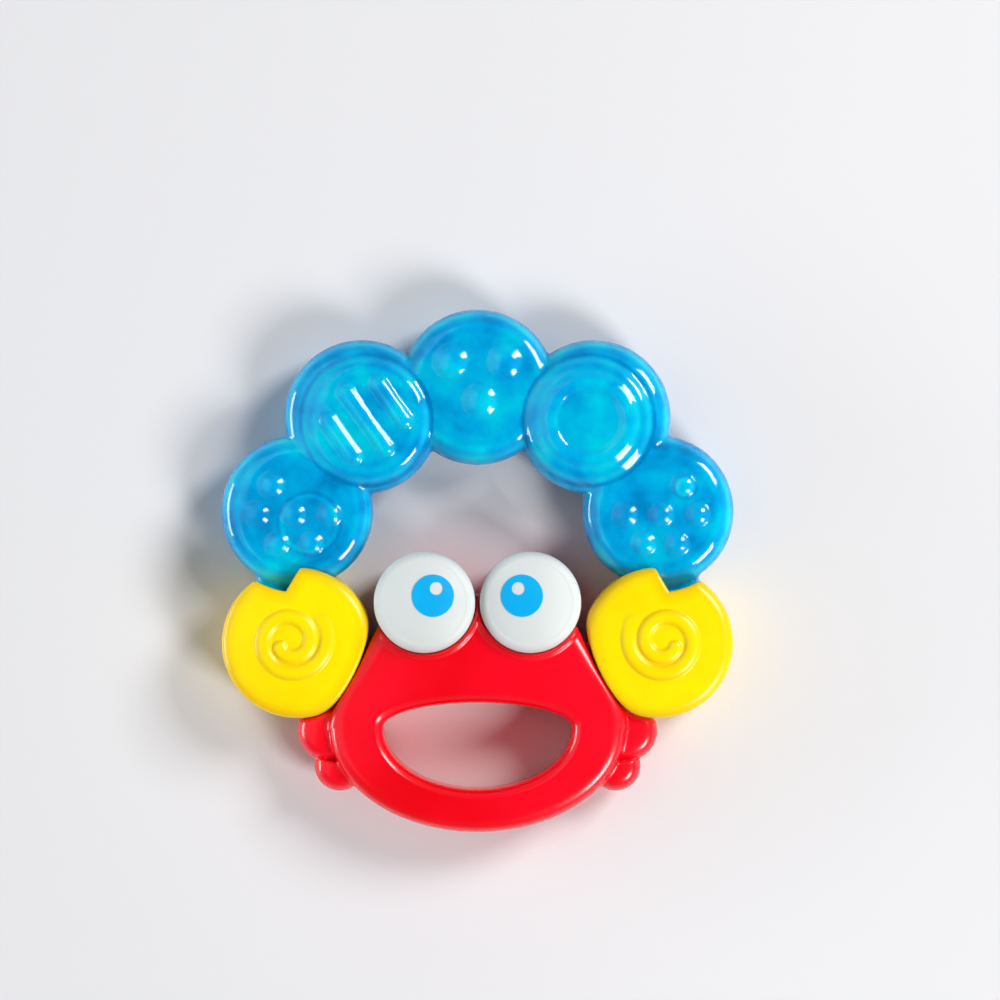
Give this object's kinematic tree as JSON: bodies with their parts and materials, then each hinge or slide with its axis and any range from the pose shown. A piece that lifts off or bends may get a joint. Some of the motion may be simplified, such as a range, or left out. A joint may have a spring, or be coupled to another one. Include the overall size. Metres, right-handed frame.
{
  "type": "teething ring",
  "caption": "Crab-shaped teething ring and rattle: a water-filled arch of round bubbles held by two claws of a hollow body with a grip opening.",
  "frame": {"origin": "middle of the toy's outline, on the plane of its flat back", "axes": "+X to the viewer's right, +Y towards the top of the arch, +Z from the flat back towards the eyes"},
  "size_m": [0.1074, 0.1094, 0.0206],
  "materials": {
    "crab_red": "gloss",
    "claw_yellow": "gloss",
    "teether_blue": "gloss",
    "water": "gloss",
    "eye_white": "gloss",
    "pupil_ink": "gloss",
    "bead_orange": "gloss",
    "screw_steel": "satin"
  },
  "bodies": {
    "root": {"body_front": "crab_red", "body_back": "crab_red", "body_screws": "screw_steel", "claw_left_front": "claw_yellow", "claw_left_back": "claw_yellow", "claw_left_screws": "screw_steel", "claw_right_front": "claw_yellow", "claw_right_back": "claw_yellow", "claw_right_screws": "screw_steel", "teether_front_skin": "teether_blue", "teether_back_skin": "teether_blue", "teether_water": "water", "teether_plug": "teether_blue", "eye_left_cap": "eye_white", "eye_left_base": "eye_white", "pupil_left_print": "pupil_ink", "eye_right_cap": "eye_white", "eye_right_base": "eye_white", "pupil_right_print": "pupil_ink", "eye_screws": "screw_steel"},
    "bead_left_1": {"rattle_bead_left_1": "bead_orange"},
    "bead_left_2": {"rattle_bead_left_2": "bead_orange"},
    "bead_left_3": {"rattle_bead_left_3": "bead_orange"},
    "bead_right_1": {"rattle_bead_right_1": "bead_orange"},
    "bead_right_2": {"rattle_bead_right_2": "bead_orange"},
    "bead_right_3": {"rattle_bead_right_3": "bead_orange"}
  },
  "joints": [
    {"name": "bead_left_1_roll", "type": "hinge", "parent": "root", "child": "bead_left_1", "pos_m": [-0.01105, -0.0066, 0.0133], "axis": [0, 0, 1], "range_deg": [-38, 38]},
    {"name": "bead_left_2_roll", "type": "hinge", "parent": "root", "child": "bead_left_2", "pos_m": [-0.01105, -0.0066, 0.0133], "axis": [0, 0, 1], "range_deg": [-38, 38]},
    {"name": "bead_left_3_roll", "type": "hinge", "parent": "root", "child": "bead_left_3", "pos_m": [-0.01105, -0.0066, 0.0133], "axis": [0, 0, 1], "range_deg": [-38, 38]},
    {"name": "bead_right_1_roll", "type": "hinge", "parent": "root", "child": "bead_right_1", "pos_m": [0.01105, -0.0066, 0.0133], "axis": [0, 0, 1], "range_deg": [-38, 38]},
    {"name": "bead_right_2_roll", "type": "hinge", "parent": "root", "child": "bead_right_2", "pos_m": [0.01105, -0.0066, 0.0133], "axis": [0, 0, 1], "range_deg": [-38, 38]},
    {"name": "bead_right_3_roll", "type": "hinge", "parent": "root", "child": "bead_right_3", "pos_m": [0.01105, -0.0066, 0.0133], "axis": [0, 0, 1], "range_deg": [-38, 38]}
  ]
}
